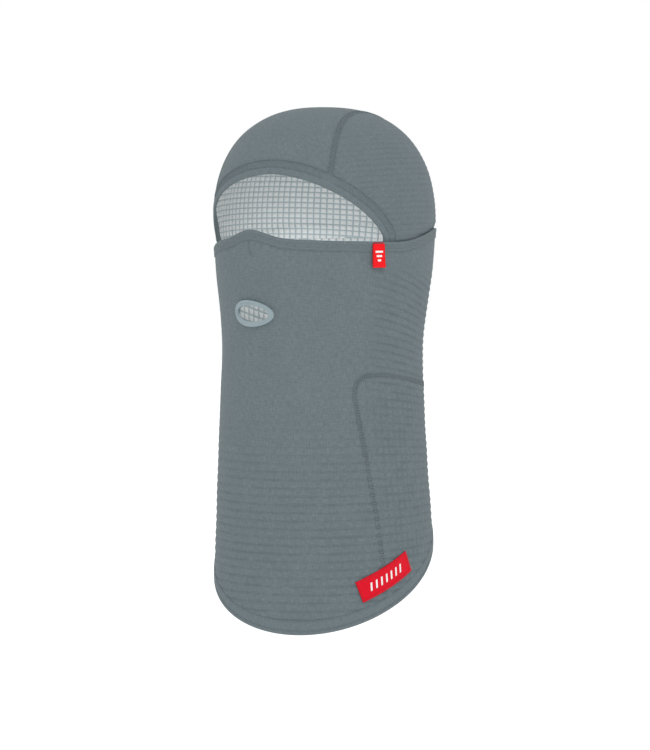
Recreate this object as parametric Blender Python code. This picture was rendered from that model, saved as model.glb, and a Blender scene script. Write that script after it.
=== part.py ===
"""A hinged grid-fleece balaclava as it is worn: hood, mask tube and every sewn or moulded trim.

Metres, +Z up. The face looks along -Y and the wearer's left is +X. The origin is the middle of
the head at eye level. Places on the cloth are given by an angle round the head, in degrees from
the nose towards the wearer's left ear, by a height, and by a distance out from the surface.
"""

import math

import bmesh
import bpy
import numpy as np
from mathutils import Vector

MM = 0.001

# The worn surface: height, half width, depth to the front, depth to the back (mm).
STATIONS = (
    (-330, 87.5, 100.5, 98.5),
    (-240, 84, 98, 96.5),
    (-181, 81, 97.5, 90),
    (-122, 79, 95, 85),
    (-83, 79, 92, 83),
    (-63, 80, 93, 87),
    (-24, 83, 98, 97.5),
    (10, 84, 101, 103),
)
DOME_BASE = 10 * MM
DOME_HEIGHT = 99.0 * MM
DOME_ROUNDNESS = 2.45
MUZZLE = 3.5 * MM
MUZZLE_HALF_ANGLE = 24
MUZZLE_LEVEL = -45 * MM
MUZZLE_HALF_HEIGHT = 50 * MM

# Cloth, thread and the gaps between pieces
FABRIC = 1.2 * MM
FOLDED = 1.6 * MM
THREAD = 0.5 * MM
GAP = 0.4 * MM
FRONT_STEP = 5
STEP = 7.5
FRONT_END = 30

# Mask: its top edge and the folded band along it
NOSE_RISE = 7.3 * MM
NOSE_AT = 2
NOSE_HALF_ANGLE = 13
CHEEK_LEVEL = 2.5 * MM
BACK_RISE = 10.5 * MM
CHEEK_SAG = 6 * MM
CHEEK_SAG_AT = -50
BAND_HEIGHT = 8 * MM
BAND_PROUD = 0.3 * MM
BAND_STITCHES = {"upper": 3.2 * MM, "middle": 5.2 * MM, "lower": 8 * MM}
BAND_ROW = 0.9 * MM
DART_ROW = 1.2 * MM

# Eye opening in the hood, and the hem round it
ARCH_RISE = 53.5 * MM
ARCH_MIDDLE = 12
ARCH_LEFT_END = 74
ARCH_RIGHT_END = -57
FACE_HEM = 11.5 * MM
FACE_STITCH = (5.5 * MM, 13 * MM)
TUCK = 9 * MM
HOOD_INSET = 1.8 * MM
HOOD_BLEND = 18 * MM
BACK_SEAM_REACH = 50

# Crown seams: distance from the middle at the brow and over the top
SEAM_AT_BROW = 56 * MM
SEAM_AT_TOP = 31 * MM
SEAM_AT_NAPE = 13 * MM
SEAM_WIDTH = 6 * MM
SEAM_ROWS = 26
SIDE_ROWS = 10

# Back panel of the neck and the seam round it
NECK_TOP = -106.5 * MM
NECK_TOP_SINK = 12.5 * MM
SEAM_SIDE_TOP = 58
SEAM_SIDE_BOTTOM = 74
SEAM_LEAN_FROM = -121 * MM
SEAM_LEAN_OVER = 190 * MM
CORNER_ANGLE = 60.5
CORNER_LEVEL = -111 * MM
NECK_SEAM_WIDTH = 4.6 * MM
NECK_ROWS = 15

# Bottom hem: a bib that hangs lowest a little to the wearer's left
HEM_LEVEL = -260.7 * MM
HEM_DROP = 50.5 * MM
HEM_LOWEST_AT = 27
HEM_HEIGHT = 11 * MM
HEM_STITCHES = {"upper": 11 * MM, "lower": 3 * MM}
HEM_ROW = 1.2 * MM

# Breathing hole and its moulded ring
HOLE_LEVEL = -56.8 * MM
HOLE_HALF = (15.2 * MM, 6.5 * MM)
HOLE_TAPER = 0.08
HOLE_TILT = 0.6 * MM
RING_SHIFT = 0.2
RING_WIDTH = 4.2 * MM
RING_RISE = 2 * MM
SLEEVE = 1.2 * MM
BACKING = 0.8 * MM
RING_STEPS = 32
# Each ring's section: how far out from the hole's rim, and how far out from the cloth.
RING_SECTIONS = {
    "breathing_ring": (
        (0, -FABRIC - 0.3 * MM),
        (0, 0.7 * RING_RISE),
        (0.8 * MM, RING_RISE),
        (RING_WIDTH - 1.2 * MM, 0.9 * RING_RISE),
        (RING_WIDTH, 0.5 * RING_RISE),
        (RING_WIDTH, GAP),
        (SLEEVE, GAP),
        (SLEEVE, -FABRIC - 0.3 * MM),
    ),
    "breathing_ring_backing": (
        (SLEEVE + GAP, -FABRIC - GAP),
        (RING_WIDTH - GAP, -FABRIC - GAP),
        (RING_WIDTH - GAP, -FABRIC - GAP - BACKING),
        (SLEEVE + GAP, -FABRIC - GAP - BACKING),
    ),
}

# Woven tags
TAG_ANGLE = 69.6
TAG_WIDTH = 11 * MM
TAG_LENGTH = 19 * MM
TAG_TOP = 1.6 * MM
RIBBON = 0.5 * MM
LABEL_ANGLE = 73.5
LABEL_LEVEL = -267.5 * MM
LABEL_SIZE = (56 * MM, 17.8 * MM)
LABEL_TILT = 22.5

FLEECE = (116, 128, 132)
THREADS = (104, 115, 119)
RUBBER = (157, 176, 181)
RED = (222, 34, 46)
DARK_RED = (150, 20, 30)


# --- The worn surface ------------------------------------------------------------------------


def ease(x):
    """0 below 0, 1 above 1 and smooth between."""
    x = np.clip(x, 0, 1)
    return x * x * (3 - 2 * x)


def bell(x):
    return np.exp(-np.square(x))


def side_angle(angle):
    """The angle from the nose, the same on both sides."""
    return np.abs((np.asarray(angle, float) + 180) % 360 - 180)


def radii(height):
    """Half width, front depth and back depth at a height, smooth through STATIONS."""
    table = np.array(STATIONS, float) * MM
    levels = table[:, 0]
    height = np.clip(np.minimum(height, DOME_BASE), levels[0], levels[-1])
    i = np.clip(np.searchsorted(levels, height) - 1, 0, len(levels) - 2)
    span = levels[i + 1] - levels[i]
    k = (height - levels[i]) / span
    found = []
    for column in table[:, 1:].T:
        slope = np.gradient(column, levels)
        rise = column[i + 1] - column[i]
        bend = (1 - k) * (slope[i] * span - rise) + k * (rise - slope[i + 1] * span)
        found.append(column[i] + k * rise + k * (1 - k) * bend)
    return found


def skin(angle, height, out=0.0):
    """Points of the worn surface, or of the surface that lies out metres outside it."""
    angle, height, out = np.broadcast_arrays(angle, height, out)
    turn = np.radians(angle)
    wide, front, back = radii(height)
    swell = MUZZLE * bell(side_angle(angle) / MUZZLE_HALF_ANGLE)
    front = front + swell * bell((height - MUZZLE_LEVEL) / MUZZLE_HALF_HEIGHT)
    up = np.clip((height - DOME_BASE) / (DOME_HEIGHT + out), 0, 1)
    shrink = (1 - up**DOME_ROUNDNESS) ** (1 / DOME_ROUNDNESS)
    deep = np.where(np.cos(turn) > 0, front, back) + out
    x = (wide + out) * shrink * np.sin(turn)
    y = -deep * shrink * np.cos(turn)
    return np.stack([x, y, height], -1)


def around(points):
    """The angle round the head of each point."""
    wide, front, back = radii(points[..., 2])
    deep = np.where(points[..., 1] < 0, front, back)
    return np.degrees(np.arctan2(points[..., 0] / wide, -points[..., 1] / deep))


def onto_skin(points, out=0.0):
    """Points moved to the surface: away from the dome's middle above its base, level below it."""
    out = np.broadcast_to(out, points.shape[:-1])
    wide, front, back = radii(points[..., 2])
    deep = np.where(points[..., 1] < 0, front, back)
    flat = np.hypot(points[..., 0] / (wide + out), points[..., 1] / (deep + out))
    up = np.maximum((points[..., 2] - DOME_BASE) / (DOME_HEIGHT + out), 1e-9)
    grow = (flat**DOME_ROUNDNESS + up**DOME_ROUNDNESS) ** (-1 / DOME_ROUNDNESS)
    middle = np.array([0, 0, DOME_BASE])
    domed = middle + (points - middle) * grow[..., None]
    level = skin(around(points), points[..., 2], out)
    return np.where((points[..., 2] > DOME_BASE)[..., None], domed, level)


def onto_hood(points, out=0.0):
    """Points moved to the hood, which tucks inside the mask's band and swells to full size above."""
    settled = onto_skin(points)
    above = settled[..., 2] - mask_top(around(settled))
    inset = HOOD_INSET * (1 - ease((above - 1 * MM) / HOOD_BLEND))
    return onto_skin(settled, out - inset)


def arc_per_degree(angle, height):
    """How far one degree goes along the surface."""
    step = skin(angle + 0.5, height) - skin(angle - 0.5, height)
    return float(np.linalg.norm(step))


# --- Outlines --------------------------------------------------------------------------------


def mask_top(angle):
    """Height of the mask's top edge: up over the nose, a dip on one cheek, higher at the back."""
    side = side_angle(angle)
    cheek = CHEEK_LEVEL * (1 - ease(side / 80))
    nose = NOSE_RISE * bell(side_angle(np.asarray(angle) - NOSE_AT) / NOSE_HALF_ANGLE)
    back = BACK_RISE * ease((side - 82) / 45)
    sag = CHEEK_SAG * bell(side_angle(np.asarray(angle) - CHEEK_SAG_AT) / 18)
    return cheek + nose + back - sag


def hem_edge(angle):
    return HEM_LEVEL - HEM_DROP * np.cos(np.radians(angle - HEM_LOWEST_AT))


def seam_side(height):
    """Angle of the neck seam's side, which leans back on its way down."""
    down = np.clip((SEAM_LEAN_FROM - height) / SEAM_LEAN_OVER, 0, 1)
    return SEAM_SIDE_TOP + (SEAM_SIDE_BOTTOM - SEAM_SIDE_TOP) * down * (3 - down**2) / 2


def neck_top(angle):
    """Height of the neck seam's top edge, which sinks towards the back."""
    return NECK_TOP - NECK_TOP_SINK * ease((side_angle(angle) - 72) / 70)


def arch_line():
    """The eye opening's upper edge, from inside the mask on the right to inside it on the left."""
    across = np.sin(np.radians(np.linspace(-90, 90, 37)))
    reach = np.where(across > 0, ARCH_LEFT_END - ARCH_MIDDLE, ARCH_MIDDLE - ARCH_RIGHT_END)
    arch = skin(ARCH_MIDDLE + reach * across, ARCH_RISE * (1 - np.abs(across) ** 1.8) ** 0.72)
    ends = []
    for angle, lean in ((ARCH_RIGHT_END, -1), (ARCH_LEFT_END, 1)):
        down = np.array([0.25, 0.6, 1])
        ends.append(skin(angle + lean * down, (mask_top(angle) - TUCK) * down))
    return np.concatenate([ends[0][::-1], arch, ends[1]])


def beside(line, distance):
    """A line on the surface, at a distance to the left of line as seen from outside."""
    along = np.gradient(line, axis=0)
    along /= np.linalg.norm(along, axis=1)[:, None]
    outward = onto_skin(line, 1 * MM) - onto_skin(line)
    side = np.cross(outward, along)
    side /= np.linalg.norm(side, axis=1)[:, None]
    return onto_skin(line + side * distance)


def spaced(line, count):
    """The same line as a number of evenly spaced points."""
    run = np.concatenate([[0], np.cumsum(np.linalg.norm(np.diff(line, axis=0), axis=1))])
    at = np.linspace(0, run[-1], count)
    return np.stack([np.interp(at, run, line[:, k]) for k in range(3)], -1)


def seam_reach(lift):
    """Distance of the crown seams from the middle, which get closer together towards the nape."""
    to_top = (SEAM_AT_BROW - SEAM_AT_TOP) * ease((lift - 30) / 75)
    return SEAM_AT_BROW - to_top - (SEAM_AT_TOP - SEAM_AT_NAPE) * ease((lift - 95) / 70)


def crown_line(side, first_lift, last_lift, count):
    """A crown seam between two lifts, in degrees over the head from the face to the nape."""
    lift = np.linspace(first_lift, last_lift, count)
    x = side * seam_reach(lift)
    turn = np.radians(lift)
    points = np.stack([x, -DOME_HEIGHT * np.cos(turn), DOME_HEIGHT * np.sin(turn)], -1)
    points[:, 2] += DOME_BASE
    for _ in range(12):
        points = onto_skin(points)
        points[:, 0] = x
    return onto_skin(points)


def crossing(side, line):
    """Where a crown seam meets a line on the brow: the seam's lift, and the line's nearest point."""
    lifts = np.linspace(20, 80, 241)
    seam = crown_line(side, lifts[0], lifts[-1], len(lifts))
    apart = np.linalg.norm(seam[:, None] - line[None], axis=2)
    i, j = np.unravel_index(np.argmin(apart), apart.shape)
    return lifts[i], j


def ring_angles():
    """Angles once round the head, closer together over the nose."""
    front = np.arange(-FRONT_END, FRONT_END, FRONT_STEP)
    rest = np.arange(FRONT_END, 360 - FRONT_END, STEP)
    return np.concatenate([front, rest])


def coons(front, back, first, last):
    """A grid between four lines: front and back are its first and last rows."""
    u = np.linspace(0, 1, len(front))[None, :, None]
    v = np.linspace(0, 1, len(first))[:, None, None]
    rows = (1 - v) * front[None] + v * back[None]
    columns = (1 - u) * first[:, None] + u * last[:, None]
    corners = (1 - v) * ((1 - u) * front[0] + u * front[-1])
    corners = corners + v * ((1 - u) * back[0] + u * back[-1])
    return rows + columns - corners


# --- Solids ----------------------------------------------------------------------------------


def clear_scene():
    for item in list(bpy.data.objects):
        bpy.data.objects.remove(item)


def material(name, colour, roughness):
    """A Principled material from a colour in 0 to 255 as a screen shows it."""
    linear = [((c / 255 + 0.055) / 1.055) ** 2.4 for c in colour]
    made = bpy.data.materials.new(name)
    made.use_nodes = True
    shader = made.node_tree.nodes["Principled BSDF"]
    shader.inputs["Base Color"].default_value = (*linear, 1)
    shader.inputs["Roughness"].default_value = roughness
    shader.inputs["Metallic"].default_value = 0.0
    made.diffuse_color = (*linear, 1)
    return made


def add_object(name, mesh, paint):
    data = bpy.data.meshes.new(name)
    mesh.to_mesh(data)
    mesh.free()
    data.materials.append(paint)
    data.shade_smooth()
    data.set_sharp_from_angle(angle=math.radians(35))
    item = bpy.data.objects.new(name, data)
    bpy.context.scene.collection.objects.link(item)
    return item


def add_faces(mesh, grid, loop, turned=False):
    """Faces between the points of a grid; loop joins its last column to its first."""
    dots = [[mesh.verts.new(point) for point in row] for row in grid]
    rows, columns = len(dots), len(dots[0])
    for i in range(rows - 1 + turned):
        for j in range(columns - 1 + loop):
            below, beyond = (i + 1) % rows, (j + 1) % columns
            mesh.faces.new((dots[i][j], dots[i][beyond], dots[below][beyond], dots[below][j]))


def cloth(name, grids, thickness, paint, loop=False):
    """A piece of cloth or thread: grids of points as one sheet, thickened inwards."""
    mesh = bmesh.new()
    for grid in grids:
        add_faces(mesh, grid, loop)
    bmesh.ops.remove_doubles(mesh, verts=mesh.verts, dist=0.02 * MM)
    bmesh.ops.recalc_face_normals(mesh, faces=mesh.faces)
    facing = 0.0
    for face in mesh.faces:
        middle = face.calc_center_median()
        facing += face.normal.dot(middle - Vector((0, 0, min(middle.z, DOME_BASE))))
    if facing < 0:
        bmesh.ops.reverse_faces(mesh, faces=mesh.faces)
    item = add_object(name, mesh, paint)
    wall = item.modifiers.new("cloth", "SOLIDIFY")
    wall.thickness = thickness
    wall.offset = -1
    wall.use_even_offset = True
    return item


def turned_solid(name, grid, paint):
    """A closed solid from a section carried round: rows are the section's points."""
    mesh = bmesh.new()
    add_faces(mesh, grid, loop=True, turned=True)
    bmesh.ops.recalc_face_normals(mesh, faces=mesh.faces)
    return add_object(name, mesh, paint)


def strip(name, line, width, out, paint, settle=onto_skin, thickness=THREAD):
    """A flat strip laid along a line; out is the distance of its underside from the surface."""
    rows = [settle(beside(line, side * width / 2), out + thickness) for side in (-1, 0, 1)]
    return cloth(name, [np.array(rows)], thickness, paint)


def band(name, edge, top, bottom, out, thickness, paint):
    """A band all the way round between two distances above an edge, or below it if negative."""
    angles = ring_angles()
    level = edge(angles)
    grid = np.array([skin(angles, level + rise, out) for rise in (top, bottom)])
    return cloth(name, [grid], thickness, paint, loop=True)


def stitch_row(name, edge, rise, width, out, paint):
    """A row of coverstitch round the tube, at a distance above an edge, or below it if negative."""
    return band(name, edge, rise + width / 2, rise - width / 2, out + THREAD, THREAD, paint)


def patch(angle, level, size, tilt, across, up):
    """Angles and heights of a flat rectangle's points laid on the surface and tilted."""
    u, v = np.meshgrid(np.linspace(-0.5, 0.5, across) * size[0], np.linspace(0.5, -0.5, up) * size[1])
    lean = math.radians(tilt)
    sideways = u * math.cos(lean) - v * math.sin(lean)
    rise = u * math.sin(lean) + v * math.cos(lean)
    return angle + sideways / arc_per_degree(angle, level), level + rise


# --- Hood ------------------------------------------------------------------------------------


def hood_panels(paint):
    """The crown panel, the two side panels, and the two crown seams over their joints."""
    brow = spaced(beside(arch_line(), FACE_HEM + 2 * GAP), 160)
    lift, cut = {}, {}
    for side in (1, -1):
        lift[side], cut[side] = crossing(side, brow)
    nape_angle = math.degrees(math.asin(SEAM_AT_NAPE / (STATIONS[-1][1] * MM)))
    nape_level = mask_top(180) - TUCK
    edges = {}
    for side in (1, -1):
        over = crown_line(side, lift[side], 180, SEAM_ROWS)
        over[0] = brow[cut[side]]
        down = skin(side * (180 - nape_angle), np.linspace(DOME_BASE, nape_level, 4)[1:])
        edges[side] = np.concatenate([over, down])
    front = spaced(brow[cut[-1] : cut[1] + 1], 13)
    round_nape = skin(np.linspace(-180 + nape_angle, -180 - nape_angle, 13), nape_level)
    inner = {side: beside(edges[side], side * GAP / 2) for side in (1, -1)}
    front[0], front[-1] = inner[-1][0], inner[1][0]
    round_nape[0], round_nape[-1] = inner[-1][-1], inner[1][-1]
    crown = onto_hood(coons(front, round_nape, inner[-1], inner[1]))
    cloth("hood_crown_panel", [crown], FABRIC, paint)
    for side, name in ((1, "left"), (-1, "right")):
        top = spaced(beside(edges[side][:SEAM_ROWS], -side * GAP / 2), 21)
        face = brow[cut[side] :] if side > 0 else brow[cut[side] :: -1]
        face = spaced(face, SIDE_ROWS + 1)
        face[0] = top[0]
        foot = around(face[-1])
        angles = np.linspace(foot, side * (180 - nape_angle), 21)
        bottom = skin(angles, mask_top(angles) - TUCK)
        bottom[0] = face[-1]
        back = np.linspace(top[-1], bottom[-1], SIDE_ROWS + 1)
        cloth(f"hood_side_panel_{name}", [onto_hood(coons(top, bottom, face, back))], FABRIC, paint)


def crown_seams(paint):
    """Flat seams over the joints between the crown panel and the side panels."""
    past_hem = beside(arch_line(), FACE_STITCH[1] + GAP + SEAM_WIDTH / 4)
    for side, name in ((1, "left"), (-1, "right")):
        lift, _ = crossing(side, spaced(past_hem, 160))
        line = crown_line(side, lift + 1, 177, SEAM_ROWS)
        strip(f"crown_seam_{name}", line, SEAM_WIDTH, GAP, paint, onto_hood)


def face_hem(paint, thread):
    """The folded hem round the eye opening, and the wide coverstitch over its inner edge."""
    line = arch_line()
    rows = [onto_hood(beside(line, across)) for across in (0, FACE_HEM / 2, FACE_HEM)]
    cloth("hood_face_hem", [np.array(rows)], FOLDED, paint)
    middle = beside(line, sum(FACE_STITCH) / 2)
    shown = middle[middle[:, 2] > mask_top(around(middle)) + 3 * MM]
    width = FACE_STITCH[1] - FACE_STITCH[0]
    strip("hood_face_hem_stitch", shown, width, GAP, thread, onto_hood)


def hood_back_seam(thread):
    """The stitches that hold the hood to the mask at the back, on the inside of the hood's edge."""
    angles = np.linspace(180 - BACK_SEAM_REACH, 180 + BACK_SEAM_REACH, 15)
    line = skin(angles, mask_top(angles) - TUCK / 2)
    strip("hood_back_seam", line, SEAM_WIDTH / 2, -FABRIC - GAP - THREAD, thread, onto_hood)


# --- Mask and neck ---------------------------------------------------------------------------


def mask_panel(paint):
    """The face and bib in one piece, whose top half runs round to a seam at the nape."""
    half_gap = math.degrees(GAP / 2 / (STATIONS[-1][3] * MM))
    angles = ring_angles()
    angles = np.sort((angles + 180) % 360 - 180)
    angles = np.concatenate([[-180 + half_gap], angles[1:], [180 - half_gap]])
    corner = np.abs(np.abs(angles) - SEAM_SIDE_TOP) < STEP / 2
    angles = np.where(corner, np.sign(angles) * SEAM_SIDE_TOP, angles)
    front = np.abs(angles) <= SEAM_SIDE_TOP
    top = mask_top(angles) - BAND_HEIGHT - GAP
    middle = np.where(front, NECK_TOP, neck_top(angles) + GAP)
    middle = np.where(corner, CORNER_LEVEL, middle)
    spread = np.where(corner, np.sign(angles) * CORNER_ANGLE, angles)
    upper = []
    for k in np.linspace(0, 1, 9):
        upper.append(skin(angles + (spread - angles) * k, top + (middle - top) * k))
    lower = [upper[-1][front]]
    share = angles[front] / SEAM_SIDE_TOP
    for k in np.linspace(0, 1, NECK_ROWS)[1:]:
        level = middle[front] + (hem_edge(share * SEAM_SIDE_BOTTOM) + HEM_HEIGHT + GAP - middle[front]) * k
        lower.append(skin(share * seam_side(level), level))
    item = cloth("mask_panel", [np.array(upper), np.array(lower)], FABRIC, paint)
    cut = item.modifiers.new("breathing_hole", "BOOLEAN")
    cut.object = hole_cutter()
    cut.solver = "EXACT"
    cut.operation = "DIFFERENCE"


def hole_outline(reach):
    """The oval round the breathing hole at a distance out from its rim, as x and height."""
    turn = np.linspace(0, 2 * math.pi, RING_STEPS, endpoint=False)
    across, up = np.cos(turn), np.sin(turn)
    x = (HOLE_HALF[0] + reach) * across + RING_SHIFT * reach
    z = (HOLE_HALF[1] + reach) * up * (1 - HOLE_TAPER * across) - HOLE_TILT * across
    return x, HOLE_LEVEL + z


def hole_cutter():
    """An oval bar through the front of the mask only."""
    mesh = bmesh.new()
    x, z = hole_outline(SLEEVE + GAP)
    near = [mesh.verts.new((a, -130 * MM, b)) for a, b in zip(x, z)]
    mesh.faces.new(near)
    far = bmesh.ops.extrude_face_region(mesh, geom=mesh.faces[:])
    moved = [part for part in far["geom"] if isinstance(part, bmesh.types.BMVert)]
    bmesh.ops.translate(mesh, verts=moved, vec=(0, 70 * MM, 0))
    bmesh.ops.recalc_face_normals(mesh, faces=mesh.faces)
    item = add_object("breathing_hole_cutter", mesh, material("cutter", FLEECE, 0.5))
    item.hide_render = True
    item.display_type = "WIRE"
    return item


def neck_back_panel(paint):
    """The panel behind the shoulders, inside the long seam."""
    gap = math.degrees(GAP / (STATIONS[-1][3] * MM))
    share = np.linspace(0, 1, 26)
    rows = []
    for k in np.linspace(0, 1, NECK_ROWS):
        side = CORNER_ANGLE + gap
        angles = side + (360 - 2 * side) * share
        level = neck_top(angles)
        level[[0, -1]] = CORNER_LEVEL - GAP
        for _ in range(6):
            angles = (seam_side(level) + gap) * (1 - 2 * share) + 360 * share
            if k == 0:
                angles[[0, -1]] = side, 360 - side
            foot = hem_edge(angles) + HEM_HEIGHT + GAP
            start = neck_top(angles)
            start[[0, -1]] = CORNER_LEVEL - GAP
            level = start + (foot - start) * k
        rows.append(skin(angles, level))
    cloth("neck_back_panel", [np.array(rows)], FABRIC, paint)


def neck_seam(thread):
    """The one long seam round the neck panel: up one side, across the back and down the other."""
    foot = hem_edge(SEAM_SIDE_BOTTOM) + HEM_HEIGHT + 2 * MM
    up = np.linspace(foot, CORNER_LEVEL - 12 * MM, 12)
    left = skin(seam_side(up), up)
    turn = np.radians(np.linspace(0, 90, 6)[1:-1])
    corner_side, foot_of_bend = CORNER_ANGLE + 6, CORNER_LEVEL - 10 * MM
    bend = skin(
        corner_side - (corner_side - SEAM_SIDE_TOP) * np.cos(turn),
        foot_of_bend + (NECK_TOP - foot_of_bend) * np.sin(turn),
    )
    angles = np.linspace(corner_side, 360 - corner_side, 30)
    top = skin(angles, neck_top(angles))
    foot_right = hem_edge(-SEAM_SIDE_BOTTOM) + HEM_HEIGHT + 2 * MM
    down = np.linspace(CORNER_LEVEL - 12 * MM, foot_right, 12)
    right = skin(-seam_side(down), down)
    mirrored = bend[::-1] * np.array([-1, 1, 1])
    line = np.concatenate([left, bend, top, mirrored, right])
    strip("neck_panel_seam", line, NECK_SEAM_WIDTH, GAP, thread)


def nape_seam(thread):
    """Closes the mask panel behind the head."""
    heights = np.linspace(mask_top(180) - BAND_HEIGHT - 2 * MM, neck_top(180) + NECK_SEAM_WIDTH / 2 + GAP, 10)
    strip("nape_seam", skin(180, heights), NECK_SEAM_WIDTH, GAP, thread)


def nose_dart(thread):
    """The end of the stitching that shapes the nose."""
    top = mask_top(0) - BAND_HEIGHT - 2 * MM
    angles = np.array([0.8, 0.8, 0.8, 1.2, 2.2, 3.6])
    heights = top - np.array([0, 5, 9.5, 11.3, 12.4, 12.9]) * MM
    strip("nose_dart_stitch", skin(angles, heights), DART_ROW, GAP, thread)


def bands_and_hems(paint, thread):
    """The mask's folded top band, the bottom hem and their rows of stitches."""
    band("mask_top_band", mask_top, 0, -BAND_HEIGHT, BAND_PROUD, FOLDED, paint)
    for name, drop in BAND_STITCHES.items():
        stitch_row(f"mask_band_stitch_{name}", mask_top, -drop, BAND_ROW, BAND_PROUD + GAP, thread)
    band("bottom_hem", hem_edge, HEM_HEIGHT, 0, BAND_PROUD, FOLDED, paint)
    for name, rise in HEM_STITCHES.items():
        stitch_row(f"bottom_hem_stitch_{name}", hem_edge, rise, HEM_ROW, BAND_PROUD + GAP, thread)


def breathing_ring(paint):
    """The moulded ring in the breathing hole, and the backing ring bonded inside the mask."""
    arc = arc_per_degree(0, HOLE_LEVEL)
    for name, section in RING_SECTIONS.items():
        rows = []
        for reach, out in section:
            x, level = hole_outline(reach)
            rows.append(skin(x / arc, level, out))
        turned_solid(name, np.array(rows), paint)


def hem_label(ribbon, thread):
    """The red label sewn over the long seam just above the hem, and its line of stitches."""
    angles, heights = patch(LABEL_ANGLE, LABEL_LEVEL, LABEL_SIZE, LABEL_TILT, 11, 4)
    under = THREAD + 2 * GAP
    cloth("hem_label", [skin(angles, heights, under + RIBBON)], RIBBON, ribbon)
    loops = []
    for inset in (1.2 * MM, 2.0 * MM):
        size = (LABEL_SIZE[0] - 2 * inset, LABEL_SIZE[1] - 2 * inset)
        a, h = patch(LABEL_ANGLE, LABEL_LEVEL, size, LABEL_TILT, 11, 4)
        path = [(0, j) for j in range(10)] + [(i, 10) for i in range(3)]
        path += [(3, j) for j in range(10, 0, -1)] + [(i, 0) for i in range(3, 0, -1)]
        loops.append([skin(a[i, j], h[i, j], under + RIBBON + GAP + THREAD) for i, j in path])
    cloth("hem_label_stitch", [np.array(loops)], THREAD, thread, loop=True)


def side_tag(ribbon, thread):
    """The folded ribbon on the band, and the bar of stitches across its sewn end."""
    top = mask_top(TAG_ANGLE) - TAG_TOP
    bottom = top - TAG_LENGTH
    near = BAND_PROUD + GAP + THREAD + GAP
    walls = [near + k * RIBBON for k in range(4)]
    fold = bottom + RIBBON
    section = [(top, walls[0]), (top, walls[1]), (fold, walls[1]), (fold, walls[2])]
    section += [(top, walls[2]), (top, walls[3]), (bottom, walls[3]), (bottom, walls[0])]
    half = TAG_WIDTH / 2 / arc_per_degree(TAG_ANGLE, top)
    mesh = bmesh.new()
    ends = []
    columns = [TAG_ANGLE - half, TAG_ANGLE, TAG_ANGLE + half]
    for angle in columns:
        ends.append([mesh.verts.new(skin(angle, height, out)) for height, out in section])
    count = len(section)
    for a, b in zip(ends, ends[1:]):
        for k in range(count):
            mesh.faces.new((a[k], a[(k + 1) % count], b[(k + 1) % count], b[k]))
    mesh.faces.new(ends[0])
    mesh.faces.new(ends[-1][::-1])
    bmesh.ops.recalc_face_normals(mesh, faces=mesh.faces)
    tag = add_object("side_tag", mesh, ribbon)
    heights = [top + TAG_TOP - 0.2 * MM, top + GAP]
    bar = np.array([skin(np.array(columns), height, BAND_PROUD + GAP + THREAD) for height in heights])
    cloth("side_tag_stitch", [bar], THREAD, thread)
    return tag, skin(TAG_ANGLE, top, near + 1.5 * RIBBON)


def hang_from(place, names, name):
    """Parents pieces to an empty on the joint they turn about, without moving them."""
    pivot = bpy.data.objects.new(name, None)
    bpy.context.scene.collection.objects.link(pivot)
    pivot.location = place
    for child in names:
        item = bpy.data.objects[child]
        item.parent = pivot
        item.location = -Vector(place)


def main():
    clear_scene()
    fleece = material("grid_fleece", FLEECE, 0.9)
    thread = material("seam_thread", THREADS, 0.8)
    rubber = material("moulded_ring", RUBBER, 0.5)
    ribbon = material("red_ribbon", RED, 0.6)
    red_thread = material("red_thread", DARK_RED, 0.7)

    hood_panels(fleece)
    crown_seams(thread)
    face_hem(fleece, thread)
    hood_back_seam(thread)
    mask_panel(fleece)
    neck_back_panel(fleece)
    neck_seam(thread)
    nape_seam(thread)
    nose_dart(thread)
    bands_and_hems(fleece, thread)
    breathing_ring(rubber)
    hem_label(ribbon, red_thread)
    tag, tag_pivot = side_tag(ribbon, red_thread)

    hood = [item.name for item in bpy.data.objects if item.name.startswith(("hood_", "crown_"))]
    hang_from((0, STATIONS[-1][3] * MM, float(mask_top(180))), hood, "hood_pivot")
    hang_from(tuple(tag_pivot), [tag.name], "side_tag_pivot")


main()
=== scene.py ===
"""The balaclava's looks: grid fleece with raised squares inside, folded hems, coverstitching,
the moulded breathing ring and the woven red tags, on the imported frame.

Metres, +Z up, the face looks along -Y and the wearer's left is +X. Places on the cloth are an
angle round the head, in degrees from the nose towards the wearer's left ear, a height, and a
distance out from the worn surface, as in the part itself.
"""

import math

import bpy
import numpy as np
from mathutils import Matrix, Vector


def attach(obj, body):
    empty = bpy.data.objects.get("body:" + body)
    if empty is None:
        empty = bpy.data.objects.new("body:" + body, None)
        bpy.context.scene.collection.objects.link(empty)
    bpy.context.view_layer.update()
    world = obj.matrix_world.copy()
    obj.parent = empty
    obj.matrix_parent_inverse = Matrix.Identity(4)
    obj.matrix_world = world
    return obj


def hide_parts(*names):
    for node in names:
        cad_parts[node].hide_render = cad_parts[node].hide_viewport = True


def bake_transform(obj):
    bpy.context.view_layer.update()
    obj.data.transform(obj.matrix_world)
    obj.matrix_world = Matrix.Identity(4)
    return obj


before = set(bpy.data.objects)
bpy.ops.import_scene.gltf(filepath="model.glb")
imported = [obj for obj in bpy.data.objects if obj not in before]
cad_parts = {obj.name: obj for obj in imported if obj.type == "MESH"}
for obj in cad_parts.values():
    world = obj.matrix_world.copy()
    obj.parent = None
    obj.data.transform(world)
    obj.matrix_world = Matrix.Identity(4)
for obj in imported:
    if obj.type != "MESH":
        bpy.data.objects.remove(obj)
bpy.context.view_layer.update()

MM = 0.001

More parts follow.
